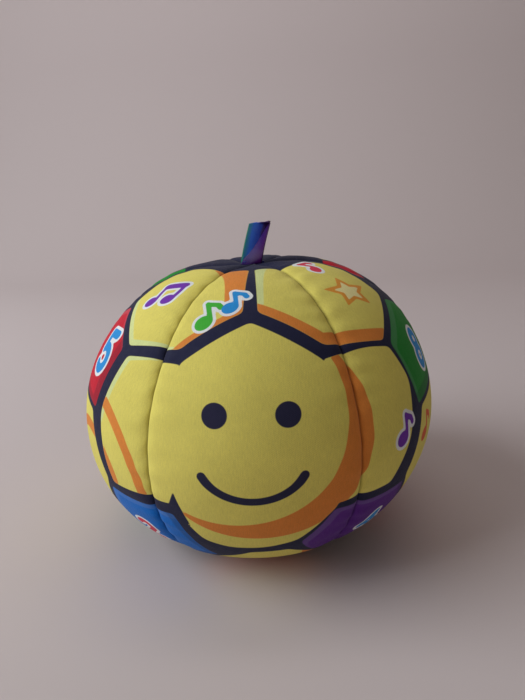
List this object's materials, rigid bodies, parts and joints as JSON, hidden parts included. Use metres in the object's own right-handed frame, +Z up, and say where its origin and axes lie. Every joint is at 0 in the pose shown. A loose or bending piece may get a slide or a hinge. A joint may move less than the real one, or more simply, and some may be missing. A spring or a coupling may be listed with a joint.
{
  "type": "soft fabric play ball with ribbon loop",
  "caption": "Soft stuffed toddler's ball of printed fabric gores with a smiling face, a satin ribbon loop on top and a sound module behind a flap.",
  "frame": {"origin": "centre of the flat patch that the ball rests on", "axes": "+Z up through the ribbon's pole, -Y towards the printed face, +X to the viewer's right when facing the print"},
  "size_m": [0.174, 0.174, 0.154],
  "materials": {
    "printed_cover": "brushed knit, printed",
    "ribbon_satin": "satin",
    "hook_tape": "matt hooks",
    "loop_tape": "matt fleece",
    "lining_fabric": "plain weave",
    "fibre_fill": "soft fibre",
    "housing_plastic": "fine textured",
    "screw_steel": "zinc plated",
    "contact_metal": "nickel plated",
    "cell_jacket": "shrink sleeve",
    "board_laminate": "solder mask",
    "black_plastic": "moulded",
    "speaker_paper": "pressed paper",
    "foam_ring": "closed foam",
    "wire_sleeve": "plain"
  },
  "bodies": {
    "ball": {"gore_front": "printed_cover", "gore_front_right": "printed_cover", "gore_back_right": "printed_cover", "gore_back": "printed_cover", "gore_back_left": "printed_cover", "gore_front_left": "printed_cover", "ribbon_tails": "ribbon_satin", "loop_strip": "loop_tape", "closure_placket": "lining_fabric", "module_pouch": "lining_fabric", "stuffing": "fibre_fill", "housing_front": "housing_plastic", "housing_back": "housing_plastic", "housing_screws": "screw_steel", "board_screws": "screw_steel", "sensor_can": "screw_steel", "speaker_magnet": "screw_steel", "speaker_frame": "screw_steel", "contact_plates": "contact_metal", "contact_leaves": "contact_metal", "battery_cells": "cell_jacket", "circuit_board": "board_laminate", "sound_chip": "black_plastic", "switch_body": "black_plastic", "sensor_base": "black_plastic", "speaker_gasket": "foam_ring", "speaker_wires": "wire_sleeve"},
    "flap": {"closure_flap": "printed_cover", "hook_strip": "hook_tape"},
    "door": {"battery_door": "housing_plastic"},
    "door_screw": {"door_screw": "screw_steel"},
    "switch_knob": {"switch_knob": "black_plastic"},
    "sensor_ball": {"sensor_ball": "screw_steel"},
    "speaker_cone": {"speaker_cone": "speaker_paper"},
    "ribbon": {"ribbon_loop": "ribbon_satin"}
  },
  "joints": [
    {"name": "flap_hinge", "type": "hinge", "parent": "ball", "child": "flap", "pos_m": [0, 0.087, 0.0622], "axis": [1, 0, 0], "range_deg": [0, 120]},
    {"name": "door_hinge", "type": "hinge", "parent": "ball", "child": "door", "pos_m": [0, 0.056, 0.0264], "axis": [-1, 0, 0], "range_deg": [0, 45]},
    {"name": "door_screw_turn", "type": "hinge", "parent": "door", "child": "door_screw", "pos_m": [0, 0.056, 0.054], "axis": [0, 1, 0], "continuous": true},
    {"name": "switch_slide", "type": "slide", "parent": "ball", "child": "switch_knob", "axis": [1, 0, 0], "range_m": [0, 0.003]},
    {"name": "sensor_roll", "type": "slide", "parent": "ball", "child": "sensor_ball", "axis": [0, 0, 1], "range_m": [0, 0.003]},
    {"name": "cone_travel", "type": "slide", "parent": "ball", "child": "speaker_cone", "axis": [0, 1, 0], "range_m": [-0.0005, 0.0005], "stiffness_N_per_m": 200},
    {"name": "ribbon_bend", "type": "hinge", "parent": "ball", "child": "ribbon", "pos_m": [0, 0, 0.1374], "axis": [1, 0, 0], "range_deg": [-60, 60], "stiffness_Nm_per_rad": 0.0004}
  ]
}
